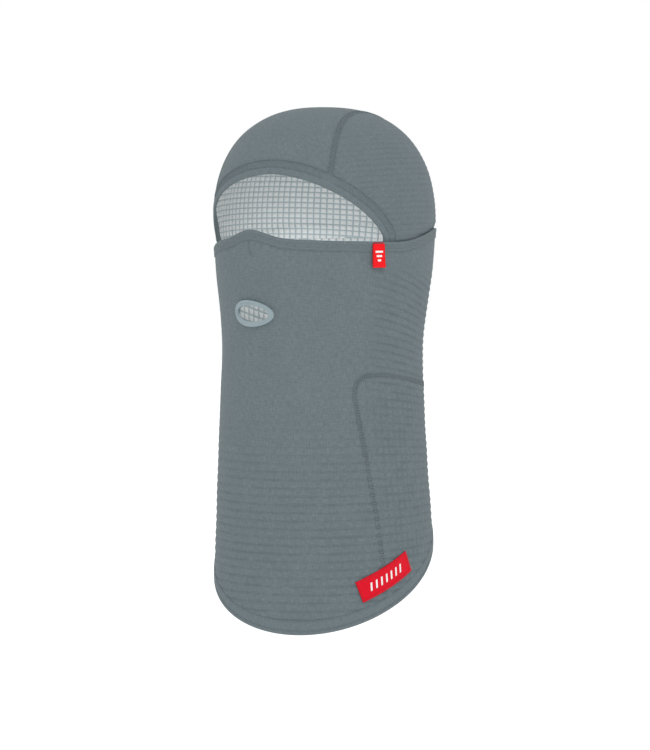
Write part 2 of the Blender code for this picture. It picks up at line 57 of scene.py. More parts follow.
# The worn surface: height, half width, depth to the front, depth to the back (mm).
STATIONS = (
    (-330, 87.5, 100.5, 98.5),
    (-240, 84, 98, 96.5),
    (-181, 81, 97.5, 90),
    (-122, 79, 95, 85),
    (-83, 79, 92, 83),
    (-63, 80, 93, 87),
    (-24, 83, 98, 97.5),
    (10, 84, 101, 103),
)
DOME_BASE = 10 * MM
DOME_HEIGHT = 99.0 * MM
DOME_ROUNDNESS = 2.45
SIDE_AXIS = np.array([-60 * MM, 0, DOME_BASE])  # the side panels' wales all lean towards this
MUZZLE = 3.5 * MM
MUZZLE_HALF_ANGLE = 24
MUZZLE_LEVEL = -45 * MM
MUZZLE_HALF_HEIGHT = 50 * MM

# Outlines. Names shared with the part have its values, but for HOOD_BLEND: here the hood swells
# out of the band sooner. The ring's rim is also narrower here on the wearer's right.
NOSE_RISE = 7.3 * MM
NOSE_AT = 2
NOSE_HALF_ANGLE = 13
CHEEK_LEVEL = 2.5 * MM
BACK_RISE = 10.5 * MM
CHEEK_SAG = 6 * MM
CHEEK_SAG_AT = -50
BAND_HEIGHT = 8 * MM
ARCH_RISE = 53.5 * MM
ARCH_MIDDLE = 12
ARCH_LEFT_END = 74
ARCH_RIGHT_END = -57
FACE_HEM = 11.5 * MM
FACE_STITCH = (5.5 * MM, 13 * MM)
TUCK = 9 * MM
HOOD_INSET = 1.8 * MM
HOOD_BLEND = 6 * MM
SEAM_AT_BROW = 56 * MM
SEAM_AT_TOP = 31 * MM
SEAM_AT_NAPE = 13 * MM
SEAM_WIDTH = 6 * MM
NECK_TOP = -106.5 * MM
NECK_TOP_SINK = 12.5 * MM
SEAM_SIDE_TOP = 58
SEAM_SIDE_BOTTOM = 74
SEAM_LEAN_FROM = -121 * MM
SEAM_LEAN_OVER = 190 * MM
SEAM_CORNER = 13 * MM
NECK_SEAM_WIDTH = 4.6 * MM
HEM_LEVEL = -260.7 * MM
HEM_DROP = 50.5 * MM
HEM_LOWEST_AT = 27
HEM_HEIGHT = 11 * MM
HOLE_LEVEL = -56.8 * MM
HOLE_HALF = (15.2 * MM, 6.5 * MM)
HOLE_TAPER = 0.08
HOLE_TILT = 0.6 * MM
RING_WIDTH = 4.2 * MM
RING_NARROW, RING_BROAD = 0.35, 1.2
HOLE_SHOWN = 0.3  # how far under the ring's rim the cloth is cut back, as a share of its width
TAG_ANGLE = 69.6
TAG_WIDTH = 11 * MM
TAG_LENGTH = 19 * MM
TAG_TOP = 1.6 * MM
LABEL_ANGLE = 73.5
LABEL_LEVEL = -267.5 * MM
LABEL_SIZE = (56 * MM, 17.8 * MM)
LABEL_TILT = 22.5

# The grid fleece: wales run up, courses run round, and each cell is a fleece square inside.
# The mask is stretched more than the hood, so its cells are bigger.
WALES_ROUND = 90
WALE = 360 / WALES_ROUND
COURSE = 6.5 * MM
HOOD_WALE = 5.8 * MM
HOOD_COURSE = 4.5 * MM
CLOTH = 0.85 * MM
TUBE_CELL = (0, 0.16, 0.84)
HOOD_CELL = (0, 0.16, 0.5, 0.84)
SQUARE_HEIGHT = 0.6 * MM
CHANNEL = 0.11
WALE_LEAN = 37
OVERLAP = 1.2 * MM
DROOP = 34 * MM
NAPE_TOP = 52 * MM

# --- The worn surface ---


def ease(x):
    """0 below 0, 1 above 1 and smooth between."""
    x = np.clip(x, 0, 1)
    return x * x * (3 - 2 * x)


def bell(x):
    return np.exp(-np.square(x))


def side_angle(angle):
    """The angle from the nose, the same on both sides."""
    return np.abs((np.asarray(angle, float) + 180) % 360 - 180)


def radii(height):
    """Half width, front depth and back depth at a height, smooth through STATIONS."""
    table = np.array(STATIONS, float) * MM
    levels = table[:, 0]
    height = np.clip(np.minimum(height, DOME_BASE), levels[0], levels[-1])
    i = np.clip(np.searchsorted(levels, height) - 1, 0, len(levels) - 2)
    span = levels[i + 1] - levels[i]
    k = (height - levels[i]) / span
    found = []
    for column in table[:, 1:].T:
        slope = np.gradient(column, levels)
        rise = column[i + 1] - column[i]
        bend = (1 - k) * (slope[i] * span - rise) + k * (rise - slope[i + 1] * span)
        found.append(column[i] + k * rise + k * (1 - k) * bend)
    return found


def dome_share(flat):
    """The dome's rise, as a share of its height, at a share of its width."""
    return (1 - np.minimum(flat, 1) ** DOME_ROUNDNESS) ** (1 / DOME_ROUNDNESS)


def skin(angle, height, out=0.0):
    """Points of the worn surface, or of the surface that lies out metres outside it."""
    angle, height, out = np.broadcast_arrays(angle, height, out)
    turn = np.radians(angle)
    wide, front, back = radii(height)
    swell = MUZZLE * bell(side_angle(angle) / MUZZLE_HALF_ANGLE)
    front = front + swell * bell((height - MUZZLE_LEVEL) / MUZZLE_HALF_HEIGHT)
    up = np.clip((height - DOME_BASE) / (DOME_HEIGHT + out), 0, 1)
    shrink = dome_share(up)
    deep = np.where(np.cos(turn) > 0, front, back) + out
    x = (wide + out) * shrink * np.sin(turn)
    y = -deep * shrink * np.cos(turn)
    return np.stack([x, y, height], -1)


def around(points):
    """The angle round the head of each point."""
    wide, front, back = radii(points[..., 2])
    deep = np.where(points[..., 1] < 0, front, back)
    return np.degrees(np.arctan2(points[..., 0] / wide, -points[..., 1] / deep))


def onto_skin(points, out=0.0):
    """Points moved to the surface: away from the dome's middle above its base, level below it."""
    out = np.broadcast_to(out, points.shape[:-1])
    wide, front, back = radii(points[..., 2])
    deep = np.where(points[..., 1] < 0, front, back)
    flat = np.hypot(points[..., 0] / (wide + out), points[..., 1] / (deep + out))
    up = np.maximum((points[..., 2] - DOME_BASE) / (DOME_HEIGHT + out), 1e-9)
    grow = (flat**DOME_ROUNDNESS + up**DOME_ROUNDNESS) ** (-1 / DOME_ROUNDNESS)
    middle = np.array([0, 0, DOME_BASE])
    domed = middle + (points - middle) * grow[..., None]
    level = skin(around(points), points[..., 2], out)
    return np.where((points[..., 2] > DOME_BASE)[..., None], domed, level)


def onto_hood(points, out=0.0):
    """Points moved to the hood, which tucks inside the mask's band and swells to full size above."""
    settled = onto_skin(points)
    above = settled[..., 2] - mask_top(around(settled))
    inset = HOOD_INSET * (1 - ease((above + 0.5 * MM) / HOOD_BLEND))
    return onto_skin(settled, out - inset)


def arc_per_degree(angle, height):
    """How far one degree goes along the surface."""
    step = skin(angle + 0.5, height) - skin(angle - 0.5, height)
    return np.linalg.norm(step, axis=-1)


# --- Outlines ---


def mask_top(angle):
    """Height of the mask's top edge: up over the nose, a dip on one cheek, higher at the back."""
    side = side_angle(angle)
    cheek = CHEEK_LEVEL * (1 - ease(side / 80))
    nose = NOSE_RISE * bell(side_angle(np.asarray(angle) - NOSE_AT) / NOSE_HALF_ANGLE)
    back = BACK_RISE * ease((side - 82) / 45)
    sag = CHEEK_SAG * bell(side_angle(np.asarray(angle) - CHEEK_SAG_AT) / 18)
    return cheek + nose + back - sag


def hem_edge(angle):
    return HEM_LEVEL - HEM_DROP * np.cos(np.radians(angle - HEM_LOWEST_AT))


def seam_side(height):
    """Angle of the neck seam's side, which leans back on its way down."""
    down = np.clip((SEAM_LEAN_FROM - height) / SEAM_LEAN_OVER, 0, 1)
    return SEAM_SIDE_TOP + (SEAM_SIDE_BOTTOM - SEAM_SIDE_TOP) * down * (3 - down**2) / 2


def neck_top(angle):
    """Height of the neck seam's top edge, which sinks towards the back."""
    return NECK_TOP - NECK_TOP_SINK * ease((side_angle(angle) - 72) / 70)


def arch_line(count=73):
    """The eye opening's upper edge, from inside the mask on the right to inside it on the left."""
    across = np.sin(np.radians(np.linspace(-90, 90, count)))
    reach = np.where(across > 0, ARCH_LEFT_END - ARCH_MIDDLE, ARCH_MIDDLE - ARCH_RIGHT_END)
    arch = skin(ARCH_MIDDLE + reach * across, ARCH_RISE * (1 - np.abs(across) ** 1.8) ** 0.72)
    ends = []
    for angle, lean in ((ARCH_RIGHT_END, -1), (ARCH_LEFT_END, 1)):
        down = np.array([0.12, 0.25, 0.45, 0.7, 1])
        ends.append(skin(angle + lean * down, (mask_top(angle) - TUCK) * down))
    return np.concatenate([ends[0][::-1], arch, ends[1]])


def unit(vectors):
    return vectors / np.maximum(np.linalg.norm(vectors, axis=1), 1e-9)[:, None]


def directions(line):
    """Unit vectors along a line on the surface, out of the surface, and to the line's left."""
    along = unit(np.gradient(line, axis=0))
    outward = unit(onto_skin(line, 1 * MM) - onto_skin(line))
    return along, outward, unit(np.cross(outward, along))


def beside(line, distance):
    """A line on the surface, at a distance to the left of line as seen from outside."""
    side = directions(line)[2]
    return onto_skin(line + side * np.reshape(distance, (-1, 1)))


def run_of(line):
    """How far along a line each of its points is."""
    return np.concatenate([[0], np.cumsum(np.linalg.norm(np.diff(line, axis=0), axis=1))])


def spaced(line, step):
    """The same line as points a step apart."""
    run = run_of(line)
    at = np.linspace(0, run[-1], max(2, round(run[-1] / step)) + 1)
    return np.stack([np.interp(at, run, line[:, k]) for k in range(3)], -1)


def lift_of(points):
    """Degrees over the head, from the face to the nape."""
    lift = np.degrees(np.arctan2(points[..., 2] - DOME_BASE, -points[..., 1]))
    return np.where(lift < -90, lift + 360, lift)


def seam_reach(lift):
    """Distance of the crown seams from the middle, which get closer together towards the nape."""
    to_top = (SEAM_AT_BROW - SEAM_AT_TOP) * ease((lift - 30) / 75)
    return SEAM_AT_BROW - to_top - (SEAM_AT_TOP - SEAM_AT_NAPE) * ease((lift - 95) / 70)


def crown_line(side, first_lift, last_lift, count):
    """A crown seam between two lifts, in degrees over the head from the face to the nape."""
    lift = np.linspace(first_lift, last_lift, count)
    x = side * seam_reach(lift)
    turn = np.radians(lift)
    points = np.stack([x, -DOME_HEIGHT * np.cos(turn), DOME_HEIGHT * np.sin(turn)], -1)
    points[:, 2] += DOME_BASE
    for _ in range(12):
        points = onto_skin(points)
        points[:, 0] = x
    return onto_skin(points)


ARCH = spaced(arch_line(), 1.5 * MM)
ARCH_SIDE = directions(ARCH)[2]


def above_arch(points):
    """Distance from the eye opening's edge, negative inside the opening."""
    flat = points.reshape(-1, 3)
    found = np.empty(len(flat))
    for start in range(0, len(flat), 4000):
        part = flat[start : start + 4000]
        apart = part[:, None] - ARCH[None]
        near = np.argmin(np.einsum("ijk,ijk->ij", apart, apart), axis=1)
        offset = apart[np.arange(len(part)), near]
        sign = np.where(np.einsum("ij,ij->i", offset, ARCH_SIDE[near]) < 0, -1, 1)
        found[start : start + 4000] = sign * np.linalg.norm(offset, axis=1)
    return found.reshape(points.shape[:-1])


# --- Where each panel's fabric lies ---


def droop(angle, height):
    """How far the courses sink behind the cheeks, where the cloth is pulled back."""
    depth = DROOP * np.clip((height + 235 * MM) / (205 * MM), 0, 1) ** 1.4
    return depth * ease((side_angle(angle) - 55) / 85)


def tube_spot(wale, course):
    """Angle and height of the mask and neck cloth's coordinates, both in cells."""
    level = course * COURSE
    height = level
    for _ in range(12):
        angle = wale * WALE - WALE_LEAN * (height + 100 * MM)
        height = level - droop(angle, height)
    return np.stack([angle, height], -1)


def tube_lift(spot, out):
    return skin(spot[..., 0], spot[..., 1], out)


def table_lookup(table, wale, course, first):
    """Points read from a table with four nodes to a cell, between its nodes."""
    u = np.clip((wale - first[0]) * 4, 0, table.shape[0] - 1.001)
    v = np.clip((course - first[1]) * 4, 0, table.shape[1] - 1.001)
    i, j = u.astype(int), v.astype(int)
    a, b = (u - i)[..., None], (v - j)[..., None]
    near = table[i, j] * (1 - b) + table[i, j + 1] * b
    far = table[i + 1, j] * (1 - b) + table[i + 1, j + 1] * b
    return near * (1 - a) + far * a


def by_length(curve, lengths, zero):
    """Points of a curve at lengths along it from its point number zero."""
    run = run_of(curve)
    return np.stack([np.interp(lengths, run - run[zero], curve[:, k]) for k in range(3)], -1)


def crown_table(first, last):
    """The crown panel: wales run over the head, courses count back from its top."""
    wide, front, back = radii(DOME_BASE)
    turn = np.radians(np.linspace(-90, 90, 181))
    lengths = np.arange(first[1], last[1] + 0.01, 0.25) * HOOD_COURSE
    rows = []
    for x in np.arange(first[0], last[0] + 0.01, 0.25) * HOOD_WALE:
        share = x / wide
        y = np.where(turn < 0, front, back) * math.sqrt(1 - share**2) * np.sin(turn)
        flat = np.hypot(share, y / np.where(turn < 0, front, back))
        z = DOME_BASE + DOME_HEIGHT * dome_share(flat)
        over = np.stack([np.full_like(y, x), y, z], -1)
        down = np.linspace(DOME_BASE, -30 * MM, 12)[1:]
        sides = []
        for k in (0, -1):
            turned = np.degrees(np.arctan2(x / wide, -over[k, 1] / (front if k == 0 else back)))
            sides.append(skin(turned, down))
        curve = np.concatenate([sides[0][::-1], over, sides[1]])
        rows.append(by_length(curve, lengths, len(down) + 90))
    return np.array(rows)


def side_table(side, first, last):
    """A side panel: wales stand on the band, counted from the nape, and courses count up."""
    wide, front, back = radii(DOME_BASE)
    turn = np.linspace(0, 200, 801)
    base = skin(turn, DOME_BASE)
    run = run_of(base)
    run -= np.interp(180, turn, run)
    counted = np.arange(first[1], last[1] + 0.01, 0.25) * HOOD_COURSE
    rows = []
    for w in np.arange(first[0], last[0] + 0.01, 0.25) * HOOD_WALE:
        angle = np.interp(w, run, turn)
        start = skin(angle, DOME_BASE)
        inward = SIDE_AXIS - start
        over = start + inward * (np.linspace(0, 1, 181)[:, None] ** 2)
        flat = np.hypot(over[:, 0] / wide, over[:, 1] / np.where(over[:, 1] < 0, front, back))
        over[:, 2] = DOME_BASE + DOME_HEIGHT * dome_share(flat)
        down = skin(angle, np.linspace(-30 * MM, DOME_BASE, 12)[:-1])
        curve = np.concatenate([down, over])
        curve[:, 0] *= side
        bow = 3.1 * MM * ((angle - 112) / 47) ** 2
        rows.append(by_length(curve, counted - bow, 11))
    return np.array(rows)


# --- Meshes ---


def linked(name, data):
    """A new object of the scene that holds the data."""
    item = bpy.data.objects.new(name, data)
    bpy.context.scene.collection.objects.link(item)
    return item


def new_object(name, points, faces, paints, indices=None, uv=None):
    """A smooth object from arrays; indices picks the material of each face."""
    data = bpy.data.meshes.new(name)
    data.from_pydata(points, [], faces)
    for paint in paints:
        data.materials.append(paint)
    if indices is not None:
        data.polygons.foreach_set("material_index", np.asarray(indices, np.int32))
    if uv is not None:
        loops = np.zeros(len(data.loops), np.int32)
        data.loops.foreach_get("vertex_index", loops)
        layer = data.uv_layers.new(name="fabric")
        layer.data.foreach_set("uv", uv[loops, :2].astype(np.float32).ravel())
    if uv is not None and uv.shape[1] > 2:
        shown = data.attributes.new("grid", "FLOAT_VECTOR", "POINT")
        shown.data.foreach_set("vector", uv[:, 2:].astype(np.float32).ravel())
    data.shade_smooth()
    data.update()
    return linked(name, data)


def used_only(points, faces, uv):
    """The same mesh without points that no face uses."""
    used, faces = np.unique(faces, return_inverse=True)
    return points[used], faces.reshape(-1, 4), uv[used]


def clipped(spot, inside, wale, course):
    """Cell coordinates moved onto the panel's edge where they lie past it."""
    wale, course = wale.copy(), course.copy()
    small = 0.02
    for _ in range(3):
        depth = inside(spot(wale, course))
        across = (inside(spot(wale + small, course)) - depth) / small
        up = (inside(spot(wale, course + small)) - depth) / small
        steep = np.maximum(across**2 + up**2, (0.25 * HOOD_COURSE) ** 2)
        move = np.where(depth < 0, -depth / steep, 0)
        move = np.clip(move * np.sqrt(steep), -1, 1) / np.sqrt(steep)
        wale += move * across
        course += move * up
    return wale, course


def lines(first, last, offsets):
    """Cell coordinates at the offsets in each cell from first to last."""
    cells = np.arange(first, last)[:, None] + np.array(offsets)[None]
    return np.append(cells.ravel(), last)


def groove(cells, width):
    """1 on a grid line and 0 away from it."""
    return bell((np.asarray(cells) - np.round(cells)) / width)


def quads(index):
    """The faces between neighbouring rows and columns of point numbers."""
    return np.stack([index[:-1, :-1], index[1:, :-1], index[1:, 1:], index[:-1, 1:]], -1)


def copies(pattern, count, size):
    """The faces of count equal meshes with size points each."""
    return (np.arange(count)[:, None, None] * size + np.array(pattern)[None]).reshape(-1, 4)


def volumes(points, a, b, c):
    """A share of the mesh's volume for each face, positive where it faces out."""
    return np.einsum("ij,ij->i", points[a], np.cross(points[b], points[c]))


def cloth_sheet(name, first, last, spot, lift, inside, strength, cell, paints):
    """A panel of fleece as a closed sheet: its outer face with the grid, and its inner face."""
    wale, course = np.meshgrid(
        lines(first[0], last[0], cell),
        lines(first[1], last[1], (0, 0.14, 0.5, 0.86)),
        indexing="ij",
    )
    held = inside(spot(wale, course)) > 0
    kept = held[:-1, :-1] | held[1:, :-1] | held[:-1, 1:] | held[1:, 1:]
    wale, course = clipped(spot, inside, wale, course)
    place = spot(wale, course)
    rows, wales = strength(place)
    outer = lift(place, relief(wale, course, rows, wales))
    inner = lift(place, -CLOTH)
    size = outer.shape[0] * outer.shape[1]
    index = np.arange(size).reshape(outer.shape[:2])
    top = quads(index)
    padded = np.pad(kept, 1)
    beyond = (padded[1:-1, :-2], padded[2:, 1:-1], padded[1:-1, 2:], padded[:-2, 1:-1])
    rims = []
    for k, neighbour in enumerate(beyond):
        edge = top[kept & ~neighbour]
        a, b = edge[:, k], edge[:, (k + 1) % 4]
        rims.append(np.stack([b, a, a + size, b + size], -1))
    faces = np.concatenate([top[kept], top[kept][:, ::-1] + size, *rims])
    points = np.concatenate([outer.reshape(-1, 3), inner.reshape(-1, 3)])
    uv = np.stack([wale.ravel(), course.ravel(), rows.ravel(), wales.ravel(), 0 * rows.ravel()], -1)
    indices = np.zeros(len(faces), np.int32)
    indices[kept.sum() : 2 * kept.sum()] = 1
    points, faces, uv = used_only(points, faces, np.concatenate([uv, uv]))
    volume = volumes(points, *faces.T[:3])
    if volume[indices == 0].sum() < 0:
        faces = faces[:, ::-1]
    return new_object(name, points, faces, paints, indices, uv)


def fleece_squares(name, first, last, spot, lift, inside, paint):
    """The raised squares on a panel's inner face, one low cushion in each cell of the grid."""
    wale, course = np.meshgrid(np.arange(first[0], last[0]), np.arange(first[1], last[1]), indexing="ij")
    wale, course = wale.ravel() + 0.5, course.ravel() + 0.5
    held = inside(spot(wale, course)) > 0
    wale, course = wale[held], course[held]
    uneven = 0.5 + 0.5 * np.sin(wale * 12.9898 + course * 78.233 + 3 * np.sin(course * 4.1 + wale))
    half = 0.5 - CHANNEL
    corners = np.array([(-1, -1), (1, -1), (1, 1), (-1, 1)])
    rings = []
    for inset, depth in ((0, 0), (0.015, 0.6), (0.07, 0.93), (0.2, 1.0)):
        ring = []
        for x, y in corners:
            w, c = clipped(spot, inside, wale + x * (half - inset), course + y * (half - inset))
            tall = SQUARE_HEIGHT * (0.9 + 0.2 * uneven)
            ring.append(lift(spot(w, c), -CLOTH + 0.1 * MM - depth * tall))
        rings.append(np.stack(ring, 1))
    points = np.concatenate(rings, 1)
    pattern = [(3, 2, 1, 0), (12, 13, 14, 15)]
    for r in range(3):
        for k in range(4):
            a, b = r * 4 + k, r * 4 + (k + 1) % 4
            pattern.append((a, b, b + 4, a + 4))
    faces = copies(pattern, len(points), 16)
    uv = np.repeat(np.stack([wale, course], -1), 16, axis=0)
    points = points.reshape(-1, 3)
    a, b, c = points[faces[1, 0]], points[faces[1, 1]], points[faces[1, 2]]
    middle = np.array([0, 0, min(a[2], DOME_BASE)])
    if np.dot(np.cross(b - a, c - a), middle - a) < 0:
        faces = faces[:, ::-1]
    return new_object(name, points, faces, [paint], None, uv)


def swept(name, rows, paints, loop, index_of=None, close=True):
    """A solid from rows of points round its section; loop joins the rows' ends."""
    rows = np.asarray(rows)
    count, length = rows.shape[:2]
    index = np.arange(count * length).reshape(count, length)
    below = np.roll(index, -1, axis=0)
    if not close:
        index, below = index[:-1], below[:-1]
    beyond = np.roll(index, -1, axis=1)
    beyond_below = np.roll(below, -1, axis=1)
    if not loop:
        index, beyond = index[:, :-1], beyond[:, :-1]
        below, beyond_below = below[:, :-1], beyond_below[:, :-1]
    faces = np.stack([index, beyond, beyond_below, below], -1).reshape(-1, 4)
    span = faces.shape[0] // index.shape[0]
    indices = np.zeros(len(faces), np.int32)
    if index_of is not None:
        indices = np.repeat(np.array(index_of, np.int32), span)
    points = rows.reshape(-1, 3)
    volume = volumes(points, *faces.T[[0, 1, 3]])
    faces = [tuple(face) for face in faces]
    if close and not loop:
        faces.append(tuple(int(k) * length for k in range(count))[::-1])
        faces.append(tuple(int(k) * length + length - 1 for k in range(count)))
        indices = np.append(indices, [0, 0])
    if volume.sum() < 0:
        faces = [face[::-1] for face in faces]
    run, depth = run_of(rows[0]), run_of(rows[:, 0])
    uv = np.stack(np.broadcast_arrays(run[None], depth[:, None]), -1).reshape(-1, 2) / HOOD_COURSE
    return new_object(name, points, faces, paints, indices, uv)


def stitches(name, starts, ends, outward, thick, paint, arch=0.25):
    """Thread laid from each start to its end: a short round body that dips in at both ends."""
    starts, ends, outward = (np.asarray(a).reshape(-1, 3) for a in (starts, ends, outward))
    along = ends - starts
    side = unit(np.cross(outward, along))
    turn = np.radians(np.arange(6) * 60)
    rings = []
    end, bend = (0.35, -arch), (0.9, 0.5 * arch)
    for k, (fat, lift) in ((0, end), (0.14, bend), (0.5, (1, arch)), (0.86, bend), (1, end)):
        middle = starts + along * k + outward * lift * thick
        ring = side[:, None] * np.cos(turn)[None, :, None] + outward[:, None] * np.sin(turn)[None, :, None]
        rings.append(middle[:, None] + ring * thick / 2 * fat)
    points = np.concatenate(rings, 1)
    pattern = []
    for r in range(4):
        for k in range(6):
            a, b = r * 6 + k, r * 6 + (k + 1) % 6
            pattern.append((a, a + 6, b + 6, b))
    pattern += [(0, 1, 2, 3), (0, 3, 4, 5), (27, 26, 25, 24), (29, 28, 27, 24)]
    faces = copies(pattern, len(points), 30)
    return new_object(name, points.reshape(-1, 3), faces, [paint])


def row_of_stitches(line, pitch, share):
    """Starts, ends and outward directions of a row of stitches along a line."""
    length = np.linalg.norm(np.diff(line, axis=0), axis=1).sum()
    count = max(2, round(length / pitch))
    fine = spaced(line, length / (count * 4))
    at = np.arange(count) * 4
    starts, ends = fine[at], fine[np.minimum(at + 4, len(fine) - 1)]
    outward = directions(fine)[1][at]
    return starts, starts + (ends - starts) * share, outward


def cover_stitches(name, line, settle, out, inner, outer, pitch, thick, paint):
    """A coverstitch between two distances beside a line: bars across, and two edge rows."""
    fine = spaced(line, pitch / 2)
    outward = directions(fine)[1]
    low, high = (settle(beside(fine, across), out) for across in (inner, outer))
    starts = np.concatenate([low[:-2:2], low[:-2:2], high[:-2:2]])
    ends = np.concatenate([high[1:-1:2], low[2::2], high[2::2]])
    outward = np.concatenate([outward[:-2:2]] * 3)
    return stitches(name, starts, ends, outward, thick, paint)


# --- Materials ---


def linear(colour):
    """A colour in 0 to 255, as a screen shows it, as the shader's linear values."""
    return tuple(((c / 255 + 0.055) / 1.055) ** 2.4 for c in colour) + (1,)


class Paint:
    """A Principled material and short calls for its nodes."""

    def __init__(self, name, roughness, **sockets):
        self.made = bpy.data.materials.new(name)
        self.made.use_nodes = True
        self.tree = self.made.node_tree
        self.shader = self.tree.nodes["Principled BSDF"]
        self.shader.inputs["Roughness"].default_value = roughness
        for socket, value in sockets.items():
            self.shader.inputs[socket.replace("_", " ")].default_value = value

    def node(self, kind, inputs, **settings):
        made = self.tree.nodes.new(kind)
        for setting, value in settings.items():
            setattr(made, setting, value)
        for socket, value in inputs.items():
            if isinstance(value, bpy.types.NodeSocket):
                self.tree.links.new(value, made.inputs[socket])
            else:
                made.inputs[socket].default_value = value
        return made

    def math(self, operation, *values):
        return self.node("ShaderNodeMath", dict(enumerate(values)), operation=operation).outputs[0]

    def place(self):
        return self.node("ShaderNodeTexCoord", {}).outputs["Object"]

    def fabric(self):
        """The two fabric coordinates, in cells."""
        uv = self.node("ShaderNodeUVMap", {}, uv_map="fabric").outputs[0]
        apart = self.node("ShaderNodeSeparateXYZ", {0: uv})
        return apart.outputs[0], apart.outputs[1]

    def noise(self, scale, detail=2.0, where=None):
        inputs = {"Vector": where or self.place(), "Scale": scale, "Detail": detail}
        return self.node("ShaderNodeTexNoise", inputs).outputs["Fac"]

    def wave(self, coordinate, per_cell):
        """0 to 1 and back, a number of times in each cell."""
        turn = self.math("MULTIPLY", coordinate, 2 * math.pi * per_cell)
        return self.math("MULTIPLY_ADD", self.math("SINE", turn), 0.5, 0.5)

    def grid_line(self, coordinate, width):
        """1 on each grid line, and 0 beyond width of a cell from it."""
        off = self.math("PINGPONG", coordinate, 0.5)
        return self.between(off, 0.0, width, 1.0, 0.0)

    def between(self, value, low, high, first, last):
        """first to last, as the value goes from low to high."""
        inputs = {0: value, 1: low, 2: high, 3: first, 4: last}
        return self.node("ShaderNodeMapRange", inputs).outputs[0]

    def mix(self, factor, first, second):
        inputs = {0: factor, 6: first, 7: second}
        return self.node("ShaderNodeMix", inputs, data_type="RGBA").outputs[2]

    def colour(self, value):
        self.tree.links.new(value, self.shader.inputs["Base Color"])

    def rough(self, factor, low, high):
        found = self.between(factor, 0.0, 1.0, low, high)
        self.tree.links.new(found, self.shader.inputs["Roughness"])

    def bump(self, height, distance, strength=1.0):
        inputs = {"Height": height, "Distance": distance, "Strength": strength}
        made = self.node("ShaderNodeBump", inputs)
        self.tree.links.new(made.outputs[0], self.shader.inputs["Normal"])


def shade(colour, change):
    return linear([max(0, min(255, c + change)) for c in colour])


def knit_paint(name, colour, clear):
    """The fleece's smooth face: a streaky fine knit, and painted shade along the grid's grooves as strong as
    the cloth says.
    """
    paint = Paint(name, 0.88, Sheen_Weight=0.04, Specular_IOR_Level=0.15)
    wale, course = paint.fabric()
    fibre = paint.noise(1400, 2.0)
    tone = paint.mix(paint.noise(45, 4.0), shade(colour, -5), shade(colour, 5))
    for across, up in ((7, 1.2), (1.2, 7)):
        stretched = {0: paint.math("MULTIPLY", wale, across), 1: paint.math("MULTIPLY", course, up)}
        scaled = paint.node("ShaderNodeCombineXYZ", stretched)
        streaks = paint.noise(1.0, 1.0, scaled.outputs[0])
        spread = paint.between(streaks, 0.35, 0.7, 0.0, 0.55)
        tone = paint.mix(spread, tone, shade(colour, -20))
    # Painted shade: the colour is darkened along the grid's lines, where the grooves are, as strong as the
    # 'grid' attribute and clear say.
    if clear:
        shown = paint.node("ShaderNodeAttribute", {}, attribute_name="grid").outputs["Vector"]
        apart = paint.node("ShaderNodeSeparateXYZ", {0: shown})
        uneven = paint.between(paint.noise(75, 3.0), 0.35, 0.6, 0.25, 1.0)
        rows = paint.math("MULTIPLY", paint.grid_line(course, 0.3), apart.outputs[0])
        columns = paint.math("MULTIPLY", paint.grid_line(wale, 0.3), apart.outputs[1])
        both = paint.math("MULTIPLY", paint.math("MAXIMUM", rows, columns), uneven)
        tone = paint.mix(paint.math("MULTIPLY", both, clear), tone, shade(colour, -30))
    paint.colour(tone)
    paint.rough(fibre, 0.82, 0.95)
    stitch = paint.math("MULTIPLY", paint.wave(wale, 9), paint.wave(course, 11))
    paint.bump(paint.math("ADD", stitch, fibre), 0.1 * MM, 0.5)
    return paint.made


def fleece_paint(name, colour, spread):
    """Brushed pile: soft and uneven."""
    paint = Paint(name, 0.95, Sheen_Weight=0.3, Sheen_Roughness=0.6, Specular_IOR_Level=0.2)
    tuft = paint.noise(900, 4.0)
    tone = paint.mix(tuft, shade(colour, -spread), shade(colour, spread))
    paint.colour(paint.mix(paint.noise(40), tone, shade(colour, -spread / 2)))
    paint.rough(tuft, 0.85, 1.0)
    paint.bump(tuft, 0.3 * MM)
    return paint.made


def thread_paint(name, colour):
    paint = Paint(name, 0.7, Sheen_Weight=0.15, Specular_IOR_Level=0.3)
    twist = paint.noise(2500, 2.0)
    paint.colour(paint.mix(twist, shade(colour, -10), shade(colour, 10)))
    paint.rough(twist, 0.6, 0.85)
    paint.bump(twist, 0.1 * MM)
    return paint.made


def rubber_paint(name, colour):
    paint = Paint(name, 0.42, Specular_IOR_Level=0.4)
    cloud = paint.noise(120, 3.0)
    grain = paint.noise(3000, 1.0)
    paint.colour(paint.mix(cloud, shade(colour, -4), shade(colour, 5)))
    paint.rough(cloud, 0.36, 0.5)
    paint.bump(grain, 0.03 * MM, 0.5)
    return paint.made


def ribbon_paint(name, colour, fine):
    """Woven ribbon: warp and weft too fine to see one by one."""
    paint = Paint(name, 0.6, Specular_IOR_Level=0.12)
    wale, course = paint.fabric()
    weave = paint.math("MULTIPLY", paint.wave(wale, fine), paint.wave(course, fine))
    cloud = paint.noise(200, 3.0)
    tone = paint.mix(cloud, shade(colour, -8), shade(colour, 6))
    paint.colour(paint.mix(paint.math("MULTIPLY", weave, 0.4), tone, shade(colour, -30)))
    paint.rough(cloud, 0.5, 0.7)
    paint.bump(weave, 0.08 * MM)
    return paint.made


